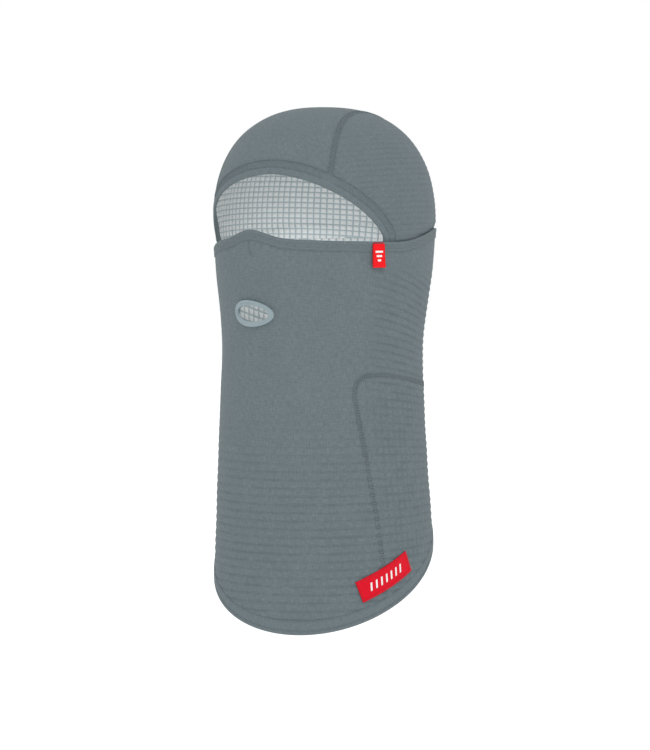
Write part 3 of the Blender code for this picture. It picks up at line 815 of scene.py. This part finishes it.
OUTER = (109, 120, 124)
PAINTS = {
    # The fleece's face gets painted shade along its grid's grooves; the folded and seam faces get none.
    "face": knit_paint("fleece_face", OUTER, 0.55),
    "fold": knit_paint("folded_face", OUTER, 0),
    "seam": knit_paint("seam_allowance", (101, 112, 116), 0),
    "back": fleece_paint("fleece_channels", (160, 173, 177), 8),
    "pile": fleece_paint("fleece_squares", (207, 209, 209), 12),
    "thread": thread_paint("seam_thread", (106, 117, 121)),
    "rubber": rubber_paint("moulded_ring", (136, 152, 157)),
    "red": ribbon_paint("tag_ribbon", (240, 22, 30), 14),
    "label": ribbon_paint("label_ribbon", (217, 10, 38), 14),
    "white": ribbon_paint("woven_mark", (246, 246, 244), 18),
    "dark_red": thread_paint("red_thread", (196, 14, 34)),
}

# --- Fleece panels ---


def across_hinge(piece):
    """The hood's cloth and seams: their placement is baked into their points, and they are attached to no
    body.
    """
    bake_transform(piece)


def tube_strength(spot):
    """How clear rows and wales are, in the grooves' depth and in the painted shade along them: on the chest
    and behind the cheeks, hardly over the mouth.
    """
    side, height = side_angle(spot[..., 0]), spot[..., 1]
    chest = ease((-115 * MM - height) / (95 * MM))
    cheek = ease((side - 58) / 22) * ease((-12 * MM - height) / (25 * MM))
    back = ease((side - seam_side(height)) / 12) * ease((NECK_TOP - height) / (20 * MM))
    rows = np.maximum(0.08 + 0.7 * chest, 0.85 * cheek)
    return rows, 0.08 + 0.12 * chest + 0.5 * back


def relief(wale, course, rows, wales):
    """The grid pressed into the cloth's outer face: grooves between low swells."""
    swell = 0.5 - 0.5 * np.cos(2 * math.pi * course)
    across = 0.5 - 0.5 * np.cos(2 * math.pi * wale)
    rib = 0.55 * MM * rows * (0.35 * swell - groove(course, 0.17) + 0.5)
    soft = 0.12 * MM * np.sin(course * 0.9 + 2 * np.sin(wale * 0.11))
    return rib + 0.22 * MM * wales * (0.4 * across - groove(wale, 0.14) + 0.5) + soft * rows


def neck_depth(spot):
    """How far a place is inside the neck panel, whose front corners are round."""
    side, height = side_angle(spot[..., 0]), spot[..., 1]
    arc = arc_per_degree(spot[..., 0], height)
    in_side = (side - seam_side(height)) * arc
    in_top = neck_top(spot[..., 0]) - height
    corner = SEAM_CORNER - np.hypot(
        np.maximum(SEAM_CORNER - in_side, 0), np.maximum(SEAM_CORNER - in_top, 0)
    )
    return np.where((in_side < SEAM_CORNER) & (in_top < SEAM_CORNER), corner, np.minimum(in_side, in_top))


def above_hem(spot):
    return spot[..., 1] - (hem_edge(spot[..., 0]) + HEM_HEIGHT - OVERLAP)


def past_hole(spot):
    """How far a place is outside the breathing hole, whose edge the ring covers."""
    x = spot[..., 0] * arc_per_degree(0, HOLE_LEVEL)
    z = spot[..., 1] - HOLE_LEVEL + HOLE_TILT * x / HOLE_HALF[0]
    reach = HOLE_SHOWN * RING_WIDTH
    share = np.hypot(x / (HOLE_HALF[0] + reach), z / (HOLE_HALF[1] + reach))
    return (share - 1) * (HOLE_HALF[1] + reach)


def in_mask(spot):
    below_band = mask_top(spot[..., 0]) - BAND_HEIGHT + OVERLAP - spot[..., 1]
    ends = (180 - side_angle(spot[..., 0])) * 1.8 * MM
    whole = np.where(np.abs(spot[..., 0]) > 180, -np.abs(ends), ends)
    return np.minimum.reduce([below_band, above_hem(spot), -neck_depth(spot), whole, past_hole(spot)])


def in_neck(spot):
    return np.minimum(neck_depth(spot), above_hem(spot))


def in_hood(points):
    above_foot = points[..., 2] - (mask_top(around(points)) - TUCK)
    return np.minimum(above_arch(points) - FACE_HEM + OVERLAP, above_foot)


def in_crown(points):
    return np.minimum(in_hood(points), seam_reach(lift_of(points)) - np.abs(points[..., 0]))


def in_side_panel(points):
    return np.minimum(in_hood(points), np.abs(points[..., 0]) - seam_reach(lift_of(points)))


def at_nape(points):
    """Low at the back, where the side panels' squares carry on behind the narrow crown panel."""
    return (points[..., 1] > 0) & (points[..., 2] < NAPE_TOP)


def crown_squares(points):
    return np.where(at_nape(points), -1.0, in_crown(points))


def side_squares(points):
    carried_on = np.minimum(in_hood(points), np.abs(points[..., 0]))
    return np.where(at_nape(points), carried_on, in_side_panel(points))


def hood_strength(points):
    aside = ease((np.abs(points[..., 0]) - 40 * MM) / (35 * MM))
    return 0.1 + 0.4 * aside, 0.08 + 0.2 * aside


def panel(node, first, last, spot, lift, inside, strength, held_by, square_inside=None):
    """One panel's cloth and the raised squares on its inner face."""
    paints = [PAINTS["face"], PAINTS["back"]]
    cell = TUBE_CELL if held_by else HOOD_CELL
    cloth = cloth_sheet(node + "_cloth", first, last, spot, lift, inside, strength, cell, paints)
    square_inside = square_inside or inside
    squares = fleece_squares(node + "_squares", first, last, spot, lift, square_inside, PAINTS["pile"])
    for piece in (cloth, squares):
        if held_by:
            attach(piece, held_by)
        else:
            across_hinge(piece)
    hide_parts(node)


def hood_panel(node, first, last, table, inside, flat, area, square_inside):
    """A panel of the hood, whose places are read from its table."""

    def spot(wale, course):
        return onto_skin(table_lookup(table, wale, course, first))

    panel(node, first, last, spot, onto_hood, inside, hood_strength, None, square_inside)


def tube_panel(node, first, last, inside):
    panel(node, first, last, tube_spot, tube_lift, inside, tube_strength, "mask")


def fleece_panels():
    half = WALES_ROUND // 2
    tube_panel("mask_panel", (-half - 3, -48), (half + 3, 7), in_mask)
    tube_panel("neck_back_panel", (12, -48), (78, -12), in_neck)
    cells = (-11, -38), (11, 42)
    table = crown_table(*cells)
    hood_panel("hood_crown_panel", *cells, table, in_crown, (0.11, 0.29), 0.018, crown_squares)
    cells = (-45, -7), (3, 32)
    for side, name in ((1, "left"), (-1, "right")):
        node, table = f"hood_side_panel_{name}", side_table(side, *cells)
        hood_panel(node, *cells, table, in_side_panel, (0.2, 0.15), 0.0223, side_squares)


# --- Hems, bands and seams -------------------------------------------------------------------

# Sections of the folded edges: distance from the edge, and distance out from the surface (mm).
BAND_FRONT = (
    (0, -0.3), (0.3, 0.35), (1, 0.7), (2, 0.75), (2.8, 0.6), (3.2, 0.3), (3.6, 0.5), (4.4, 0.6), (5, 0.5),
    (5.3, 0.3), (5.7, 0.5), (6.6, 0.6), (7.4, 0.5), (7.9, 0.3), (8.2, 0.05),
)
BAND_BACK = ((8.2, -0.9), (5, -1.5), (1.2, -1.5), (0.3, -1.0))
HEM_FRONT = (
    (0, -0.5), (0.3, 0.15), (1, 0.45), (2.5, 0.5), (3.2, 0.1), (3.9, 0.5), (6, 0.75), (8.5, 0.75),
    (10.2, 0.5), (10.9, 0.25), (11.3, 0.1),
)
HEM_BACK = ((11.3, -0.9), (7, -1.5), (1.2, -1.5), (0.3, -1.1))
FACE_FRONT = (
    (0, -0.6), (0.25, 0.05), (0.9, 0.4), (2, 0.5), (4.5, 0.45), (5.6, 0.25), (8, 0.3), (11, 0.2), (11.7, 0.0),
)
FACE_BACK = ((11.7, -0.9), (8, -1.5), (1.2, -1.6), (0.3, -1.2))
BAND_NEEDLES = (3.2, 5.3, 7.9)
HEM_NEEDLES = {"upper": 10.9, "lower": 3.2}


def round_tube(edge, section, sign, count=480):
    """Rows round the tube at each section point's distance below (or above) an edge."""
    angles = np.linspace(0, 360, count, endpoint=False)
    tops = edge(angles)
    return [skin(angles, tops + sign * along * MM, out * MM) for along, out in section]


def trim(piece, body, slot, *nodes):
    """A sewn or moulded piece: its body, its record slot, which is not used, and the nodes that it stands
    for.
    """
    if body:
        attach(piece, body)
    else:
        across_hinge(piece)
    if nodes:
        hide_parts(*nodes)
    return piece


def sewn(name, line, pitch, share, thick, body, node, paint="thread", slot="seam_thread", arch=0.25):
    """Running stitches along a line, which stand for a node."""
    starts, ends, outward = row_of_stitches(line, pitch, share)
    thread = stitches(name, starts, ends, outward, thick, PAINTS[paint], arch)
    trim(thread, body, slot, node)


def needle_row(piece, which, edge, sign, along, out):
    """Running stitches round the tube at a distance from an edge."""
    angles = np.linspace(0, 360, 1441)
    line = skin(angles, edge(angles) + sign * along * MM, out * MM)
    sewn(f"{piece}_thread_{which}", line, 2.1 * MM, 0.8, 0.45 * MM, "mask", f"{piece}_stitch_{which}")


def bands_and_hems():
    fold = PAINTS["fold"]
    band = swept("mask_top_band_fold", round_tube(mask_top, BAND_FRONT + BAND_BACK, -1), [fold], True)
    trim(band, "mask", "grid_fleece", "mask_top_band")
    for name, along in zip(("upper", "middle", "lower"), BAND_NEEDLES):
        needle_row("mask_band", name, mask_top, -1, along, 0.42)
    hem = swept("bottom_hem_fold", round_tube(hem_edge, HEM_FRONT + HEM_BACK, 1), [fold], True)
    trim(hem, "mask", "grid_fleece", "bottom_hem")
    for name, along in HEM_NEEDLES.items():
        needle_row("bottom_hem", name, hem_edge, 1, along, 0.4)


def face_hem():
    """The fold round the eye opening, lifted where the crown seams run into it."""
    line = spaced(arch_line(), 1.2 * MM)
    rows = []
    for along, out in FACE_FRONT + FACE_BACK:
        row = beside(line, along * MM)
        over_seam = bell((np.abs(row[:, 0]) - seam_reach(lift_of(row))) / (2.6 * MM)) * (row[:, 2] > 20 * MM)
        lift = np.where(out > -0.6, 0.45, 0.0) * over_seam
        rows.append(onto_hood(row, (out + lift) * MM))
    hem = swept("hood_face_hem_fold", rows, [PAINTS["fold"]], False)
    trim(hem, "hood", "grid_fleece", "hood_face_hem")
    shown = line[line[:, 2] > mask_top(around(line)) - 4 * MM]
    low, high = FACE_STITCH[0] + 0.5 * MM, FACE_STITCH[1] - 0.7 * MM
    thread = cover_stitches(
        "hood_face_hem_thread", shown, onto_hood, 0.42 * MM, low, high, 2.1 * MM, 0.42 * MM, PAINTS["thread"]
    )
    trim(thread, "hood", "seam_thread", "hood_face_hem_stitch")


def flat_seam(node, line, settle, body, width=SEAM_WIDTH):
    """A flatlock seam: a low ridge of cloth, and its coverstitch with an edge row on each side."""
    fine = spaced(line, 1.5 * MM)
    half = width / 2
    section = [(-half, -0.1), (-0.8 * half, 0.15), (-0.3 * half, 0.22), (0.3 * half, 0.22)]
    section += [(0.8 * half, 0.15), (half, -0.1), (0.9 * half, -0.9), (-0.9 * half, -0.9)]
    rows = [settle(beside(fine, across), out * MM) for across, out in section]
    ridge = swept(node + "_ridge", rows, [PAINTS["seam"]], False)
    trim(ridge, body, "grid_fleece")
    edge, paint = 0.72 * half, PAINTS["thread"]
    thread = cover_stitches(
        node + "_thread", line, settle, 0.28 * MM, -edge, edge, 2.2 * MM, 0.45 * MM, paint
    )
    trim(thread, body, "seam_thread", node)


def over_face_hem(points, out=0.0):
    """Points on the hood, lifted a little where they lie over the hem of the eye opening."""
    lift = 0.35 * MM * ease((FACE_HEM + 2 * MM - above_arch(points)) / (2 * MM))
    return onto_hood(points, out + lift)


def crown_seams():
    for side, name in ((1, "left"), (-1, "right")):
        line = crown_line(side, 20, 180, 161)
        line = line[above_arch(line) > 0.6 * MM]
        levels = np.linspace(DOME_BASE, mask_top(180) - 4 * MM, 5)[1:]
        down = line[-1] * [1, 1, 0] + np.array([0, 0, 1]) * levels[:, None]
        flat_seam(f"crown_seam_{name}", np.concatenate([line, onto_skin(down)]), over_face_hem, None)


def hood_back_seam():
    """The stitches that hold the hood to the mask at the back, inside the band."""
    angles = np.linspace(130, 230, 101)
    line = skin(angles, mask_top(angles) - TUCK / 2)
    line = onto_hood(line, 0.1 * MM)
    sewn("hood_back_thread", line, 2.4 * MM, 0.8, 0.6 * MM, None, "hood_back_seam")


def neck_seams():
    """The long seam up one side, across the back and down the other, and the seam at the nape."""
    up = np.linspace(hem_edge(SEAM_SIDE_BOTTOM) + HEM_HEIGHT - 1 * MM, NECK_TOP - SEAM_CORNER, 60)
    side = skin(seam_side(up), up)
    arc = arc_per_degree(SEAM_SIDE_TOP, NECK_TOP)
    turn = np.radians(np.linspace(0, 90, 12))[1:-1]
    corner_angle = SEAM_SIDE_TOP + SEAM_CORNER / arc
    bend = skin(
        corner_angle - SEAM_CORNER / arc * np.cos(turn), NECK_TOP - SEAM_CORNER + SEAM_CORNER * np.sin(turn)
    )
    angles = np.linspace(corner_angle, 360 - corner_angle, 200)
    top = skin(angles, neck_top(angles))
    mirror = np.array([-1, 1, 1])
    down = np.linspace(NECK_TOP - SEAM_CORNER, hem_edge(-SEAM_SIDE_BOTTOM) + HEM_HEIGHT - 1 * MM, 60)
    right = skin(-seam_side(down), down)
    line = np.concatenate([side, bend, top, bend[::-1] * mirror, right])
    flat_seam("neck_panel_seam", line, onto_skin, "mask", NECK_SEAM_WIDTH)
    heights = np.linspace(mask_top(180) - BAND_HEIGHT + 1 * MM, neck_top(180) + NECK_SEAM_WIDTH / 2, 60)
    flat_seam("nape_seam", skin(180, heights), onto_skin, "mask", NECK_SEAM_WIDTH)


def nose_dart():
    """The hooked end of the stitching that shapes the nose."""
    drop = np.array([0, 3, 6, 8.5, 10.3, 11.6, 12.5, 12.9]) * MM
    angles = np.array([0.6, 0.7, 0.8, 0.9, 1.3, 2.0, 3.0, 4.2])
    line = skin(angles, mask_top(0) - BAND_HEIGHT - drop, 0.15 * MM)
    sewn("nose_dart_thread", line, 1.1 * MM, 0.95, 0.4 * MM, "mask", "nose_dart_stitch")


# --- Breathing ring ---


def ring_outline(reach, count=96):
    """The oval round the breathing hole at a distance out from its rim, as x and height."""
    turn = np.linspace(0, 2 * math.pi, count, endpoint=False)
    across, up = np.cos(turn), np.sin(turn)
    share = RING_NARROW + (RING_BROAD - RING_NARROW) * (1 + across) / 2
    x = (HOLE_HALF[0] + reach * share) * across
    z = (HOLE_HALF[1] + reach) * up * (1 - HOLE_TAPER * across) - HOLE_TILT * across
    return x, HOLE_LEVEL + z


def on_ring(reach, out, count=96):
    """Points round the breathing hole, at distances out from its rim and from the cloth."""
    x, level = ring_outline(reach * MM, count)
    return skin(x / arc_per_degree(0, HOLE_LEVEL), level, out * MM)


def breathing_ring():
    """The moulding, a dished lip round the hole; its backing; and plain ticks along its top."""
    section = (
        (0, -1.3), (0, 0.1), (0.15, 0.6), (0.6, 0.85), (1.6, 1.15), (2.5, 1.6), (2.9, 2.1), (3.3, 2.35),
        (3.8, 2.2), (4.1, 1.6), (4.2, 0.6), (4.2, -0.1), (1.4, -0.4), (1.4, -1.3),
    )
    backing = ((1.2, -1.3), (3.6, -1.3), (3.9, -1.8), (3.4, -2.3), (1.0, -2.3), (0.3, -1.9), (0.3, -1.4))
    for name, node, points in (
        ("breathing_ring_moulding", "breathing_ring", section),
        ("breathing_ring_inner", "breathing_ring_backing", backing),
    ):
        rows = [on_ring(reach, out) for reach, out in points]
        trim(swept(name, rows, [PAINTS["rubber"]], True), "mask", "moulded_ring", node)
    count = 192
    inner, outer = on_ring(0.9, 1.0, count), on_ring(2.2, 1.55, count)
    places = np.arange(44, 72, 4)
    inner, outer = inner[places], outer[places]
    ahead = np.zeros(len(places))
    outward = skin(ahead, HOLE_LEVEL, 1 * MM) - skin(ahead, HOLE_LEVEL)
    ticks = stitches("breathing_ring_ticks", inner, outer, outward, 0.5 * MM, PAINTS["rubber"])
    trim(ticks, "mask", "moulded_ring")


# --- Red tags ---


def patch(angle, level, across, up, tilt):
    """Angles and heights of places on a flat patch laid on the surface and tilted."""
    lean = math.radians(tilt)
    sideways = across * math.cos(lean) - up * math.sin(lean)
    rise = across * math.sin(lean) + up * math.cos(lean)
    return angle + sideways / arc_per_degree(angle, level), level + rise


def ribbon_slab(name, place, width, height, low, high, paint, cells=(28, 10)):
    """A thin slab; place turns its across, up and out into points."""
    u = np.linspace(-0.5, 0.5, cells[0] + 1) * width
    v = np.linspace(-0.5, 0.5, cells[1] + 1) * height
    u, v = np.meshgrid(u, v, indexing="ij")
    size = u.size
    index = np.arange(size).reshape(u.shape)
    top = quads(index).reshape(-1, 4)
    edge = np.concatenate([index[:, 0], index[-1, 1:], index[-2::-1, -1], index[0, -2:0:-1]])
    beyond = np.roll(edge, -1)
    rim = np.stack([beyond, edge, edge + size, beyond + size], -1)
    faces = np.concatenate([top, top[:, ::-1] + size, rim])
    points = np.concatenate([place(u, v, high).reshape(-1, 3), place(u, v, low).reshape(-1, 3)])
    a, b, c = points[faces[0, 0]], points[faces[0, 1]], points[faces[0, 2]]
    if np.dot(np.cross(b - a, c - a), a * [1, 1, 0]) < 0:
        faces = faces[:, ::-1]
    uv = np.stack([u.ravel(), v.ravel()], -1) / HOOD_COURSE
    return new_object(name, points, faces, [paint], None, np.concatenate([uv, uv]))


def hem_label():
    under, top = 0.75 * MM, 1.35 * MM

    def place(across, up, out):
        bow = -1.4 * MM * (1 - (2 * across / LABEL_SIZE[0]) ** 2) * 0.5
        return skin(*patch(LABEL_ANGLE, LABEL_LEVEL, across, up + bow, LABEL_TILT), out)

    label = ribbon_slab("hem_label_ribbon", place, *LABEL_SIZE, under, top, PAINTS["label"])
    trim(label, "mask", "red_ribbon", "hem_label")
    inset = 1.4 * MM
    wide, tall = LABEL_SIZE[0] / 2 - inset, LABEL_SIZE[1] / 2 - inset
    corners = np.array([(-wide, -tall), (wide, -tall), (wide, tall), (-wide, tall), (-wide, -tall)])
    path = []
    for a, b in zip(corners, corners[1:]):
        path.append(a + (b - a) * np.linspace(0, 1, 60, endpoint=False)[:, None])
    path = np.concatenate(path + [corners[-1:]])
    line = place(path[:, 0], path[:, 1], top + 0.05 * MM)
    look = {"paint": "dark_red", "slot": "red_thread", "arch": 0.5}
    sewn("hem_label_thread", line, 2.4 * MM, 0.62, 0.5 * MM, "mask", "hem_label_stitch", **look)
    for k in range(7):
        middle = (k - 3) * 5.4 * MM

        def slanted(across, up, out, middle=middle):
            return place(middle + across + 0.35 * up, up, out)

        low, high = top - 0.1 * MM, top + 0.12 * MM
        name = f"hem_label_bar_{k + 1}"
        mark = ribbon_slab(name, slanted, 1.7 * MM, 6.4 * MM, low, high, PAINTS["white"], (3, 6))
        trim(mark, "mask", "red_ribbon")


def side_tag():
    """A ribbon folded in two, sewn on just below the band's upper edge, with three woven bars."""
    top = mask_top(TAG_ANGLE) - TAG_TOP
    arc = arc_per_degree(TAG_ANGLE, top)
    near, ply = 1.15 * MM, 0.5 * MM
    down = np.linspace(0, TAG_LENGTH - 0.6 * MM, 16)

    def flare(depth):
        return 0.9 * MM * (depth / TAG_LENGTH) ** 2

    section = [(depth, near + 2.4 * ply + flare(depth)) for depth in down]
    turn = np.radians(np.linspace(60, -60, 5))
    fold = down[-1]
    middle = near + 1.4 * ply + flare(fold)
    section += [(fold + 0.6 * MM * math.cos(t), middle + ply * math.sin(t)) for t in turn]
    section += [(depth, near + 0.4 * ply + flare(depth)) for depth in down[::-1]]
    across = np.linspace(-0.5, 0.5, 9) * TAG_WIDTH
    rows = []
    for depth, out in section:
        rows.append(skin(TAG_ANGLE + across * (1 + 0.1 * depth / TAG_LENGTH) / arc, top - depth, out))
    tag = swept("side_tag_ribbon", rows, [PAINTS["red"]], False)
    trim(tag, "side_tag", "red_ribbon", "side_tag")
    for k, (drop, wide) in enumerate(((6.4, 7.2), (9.8, 5.2), (13.2, 3.2))):

        def place(x, up, out, drop=drop):
            depth = drop * MM - up
            return skin(TAG_ANGLE + x / arc, top - depth, near + 2.4 * ply + flare(depth) + out)

        mark = ribbon_slab(
            f"side_tag_bar_{k + 1}", place, wide * MM, 1.6 * MM, -0.1 * MM, 0.12 * MM, PAINTS["white"], (6, 3)
        )
        trim(mark, "side_tag", "red_ribbon")
    starts, ends = [], []
    for x in np.linspace(-0.44, 0.44, 12) * TAG_WIDTH:
        starts.append(skin(TAG_ANGLE + x / arc, top + 1.3 * MM, 0.8 * MM))
        ends.append(skin(TAG_ANGLE + (x + 0.5 * MM) / arc, top + 0.3 * MM, 1.0 * MM))
    outward = [onto_skin(a, 1 * MM) - onto_skin(a) for a in starts]
    bar = stitches("side_tag_thread", starts, ends, outward, 0.5 * MM, PAINTS["dark_red"])
    trim(bar, "mask", "red_thread", "side_tag_stitch")


# --- Studio ---

FLOOR_LEVEL, FLOOR_REACH = -0.5, 6.0
CAMERA_PLACE = (1.384, -1.837, 0.02)
CAMERA_AIM = (0, 0, -0.110)
LENS = 134.6
KEY_PLACE, KEY_SIZE, KEY_POWER = (0.9, -0.9, 1.5), 1.0, 7
GLOW_PLACE, GLOW_POWER = (-0.012, 0.025, -0.01), 0.145


def look_at(item, aim):
    item.rotation_euler = (Vector(aim) - item.location).to_track_quat("-Z", "Y").to_euler()


def camera():
    data = bpy.data.cameras.new("camera")
    data.sensor_width = 36.0
    data.sensor_fit = "VERTICAL"
    data.sensor_height = 36.0
    data.lens = LENS
    item = linked("camera", data)
    item.location = CAMERA_PLACE
    look_at(item, CAMERA_AIM)
    bpy.context.scene.camera = item


def lamp(name, place, aim, size, power):
    data = bpy.data.lights.new(name, "AREA")
    data.shape = "DISK"
    data.size = size
    data.energy = power
    item = linked(name, data)
    item.location = place
    look_at(item, aim)


def studio():
    """A pale floor, soft light from all round, a soft key lamp, and a small lamp inside the hood."""
    scene = bpy.context.scene
    scene.view_settings.view_transform = "Standard"
    world = bpy.data.worlds.new("studio")
    world.use_nodes = True
    world.node_tree.nodes["Background"].inputs[0].default_value = (1, 1, 1, 1)
    world.node_tree.nodes["Background"].inputs[1].default_value = 1.0
    scene.world = world
    lamp("key", KEY_PLACE, (0, 0, 0), KEY_SIZE, KEY_POWER)
    glow = bpy.data.lights.new("inside", "POINT")
    glow.shadow_soft_size = 0.03
    glow.energy = GLOW_POWER
    linked("inside", glow).location = GLOW_PLACE
    signs = ((-1, -1), (1, -1), (1, 1), (-1, 1))
    corners = [(x * FLOOR_REACH, y * FLOOR_REACH, FLOOR_LEVEL) for x, y in signs]
    look = {"Base_Color": (0.93, 0.93, 0.93, 1), "Emission_Color": (1, 1, 1, 1), "Emission_Strength": 0.22}
    pale = Paint("pale_floor", 0.9, **look)
    floor = new_object("floor", corners, [(0, 1, 2, 3)], [pale.made])


camera()
studio()
bands_and_hems()
fleece_panels()
face_hem()
crown_seams()
hood_back_seam()
neck_seams()
nose_dart()
breathing_ring()
hem_label()
side_tag()
